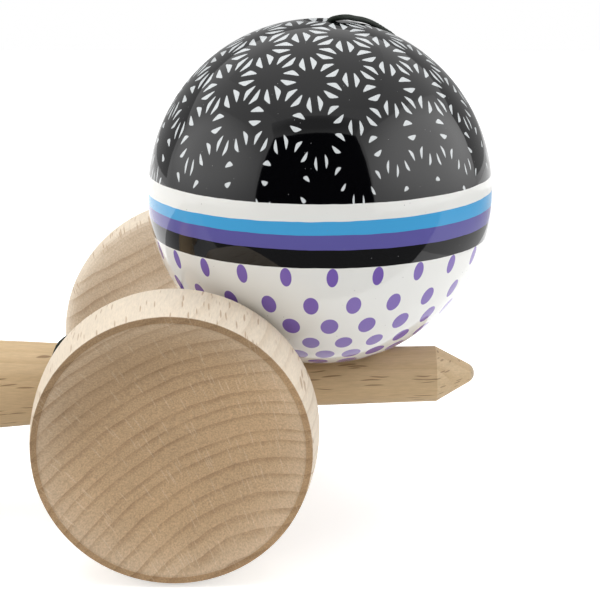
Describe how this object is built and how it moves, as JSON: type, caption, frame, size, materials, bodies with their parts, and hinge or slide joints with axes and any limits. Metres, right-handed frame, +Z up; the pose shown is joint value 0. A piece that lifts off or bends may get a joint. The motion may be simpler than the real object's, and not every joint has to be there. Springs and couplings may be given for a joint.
{
  "type": "kendama",
  "caption": "Wooden cup-and-ball toy lying on its side: turned spike and grip with base cup, cross-piece with cups, and a lacquered holed ball on a cord.",
  "frame": {"origin": "on the floor under the middle of the wooden pieces' box", "axes": "+X along the ken towards the tip of the spike, +Y away from the front cup, +Z up, with the toy lying on its three cups"},
  "size_m": [0.1724, 0.1067, 0.0902],
  "materials": {
    "ken_beech": "bare sanded beech",
    "cup_beech": "bare sanded beech, end grain in the bowls",
    "ball_lacquer": "gloss lacquer over paint",
    "bead_wood": "polished",
    "cord": "braided nylon"
  },
  "bodies": {
    "sarado": {"sarado": "cup_beech", "sarado_knot": "cord", "string": "cord"},
    "ken": {"ken": "ken_beech"},
    "bead": {"bead": "bead_wood", "bead_knot": "cord"},
    "tama": {"tama": "ball_lacquer"}
  },
  "joints": [
    {"name": "ken_draw", "type": "slide", "parent": "sarado", "child": "ken", "axis": [-0.9997, 0, -0.0264], "range_m": [0, 0.07]},
    {"name": "tama_lift", "type": "slide", "parent": "sarado", "child": "bead", "axis": [0, 0, 1], "range_m": [0, 0.12], "deforming": ["string"]},
    {"name": "tama_spin", "type": "hinge", "parent": "bead", "child": "tama", "pos_m": [0.05619, -0.00056, 0.05896], "axis": [0, -0.0175, 0.9998], "continuous": true}
  ]
}
